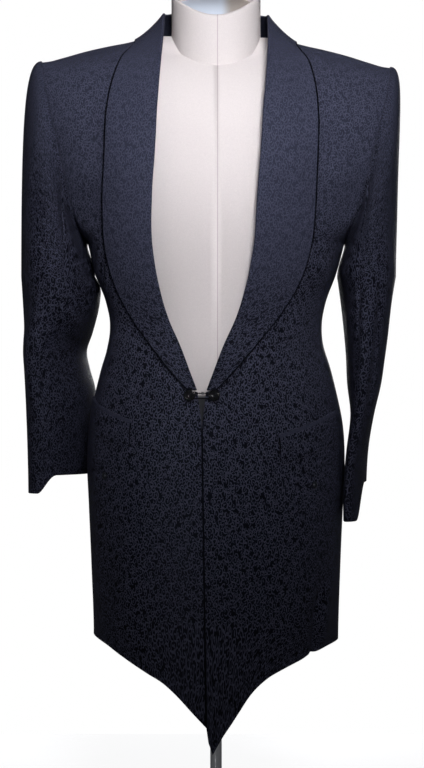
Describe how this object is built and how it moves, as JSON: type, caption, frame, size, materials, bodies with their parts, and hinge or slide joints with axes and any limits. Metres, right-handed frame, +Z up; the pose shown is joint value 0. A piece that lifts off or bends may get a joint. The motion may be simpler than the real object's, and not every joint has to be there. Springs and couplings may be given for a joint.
{
  "type": "morning coat on a limbless dress form with a stand",
  "caption": "Dark jacquard morning coat with a shawl collar and a corded link-button closure, on a cream limbless dress form with a pole and a round base",
  "frame": {"origin": "centre of the stand base's underside, on the floor", "axes": "+Z up along the pole, -Y the way the coat's front faces, +X the wearer's left"},
  "size_m": [0.4926, 0.3, 1.0797],
  "materials": {
    "jacquard": "satin jacquard of small scrolls, near-black navy",
    "black_button": "glossy black",
    "black_cord": "black twisted cord",
    "bright_metal": "bright metal",
    "form_cover": "matt cream-pink cover",
    "cap_board": "matt grey-brown board",
    "stand_metal": "satin steel"
  },
  "bodies": {
    "root": {"front_right": "jacquard", "back_right": "jacquard", "collar_right": "jacquard", "sleeve_top_right": "jacquard", "sleeve_under_right": "jacquard", "pocket_flap_right": "jacquard", "link_button_right": "black_button", "skirt_stud_right": "black_button", "cuff_button_right_1": "black_button", "cuff_button_right_2": "black_button", "cuff_button_right_3": "black_button", "cuff_button_right_4": "black_button", "front_left": "jacquard", "back_left": "jacquard", "collar_left": "jacquard", "sleeve_top_left": "jacquard", "sleeve_under_left": "jacquard", "pocket_flap_left": "jacquard", "link_button_left": "black_button", "skirt_stud_left": "black_button", "cuff_button_left_1": "black_button", "cuff_button_left_2": "black_button", "cuff_button_left_3": "black_button", "cuff_button_left_4": "black_button", "link_cord": "black_cord", "link_clasp": "bright_metal", "form_torso": "form_cover", "form_neck_cap": "cap_board", "stand_pole": "stand_metal", "stand_base": "stand_metal", "stand_hub": "stand_metal"}
  },
  "joints": []
}
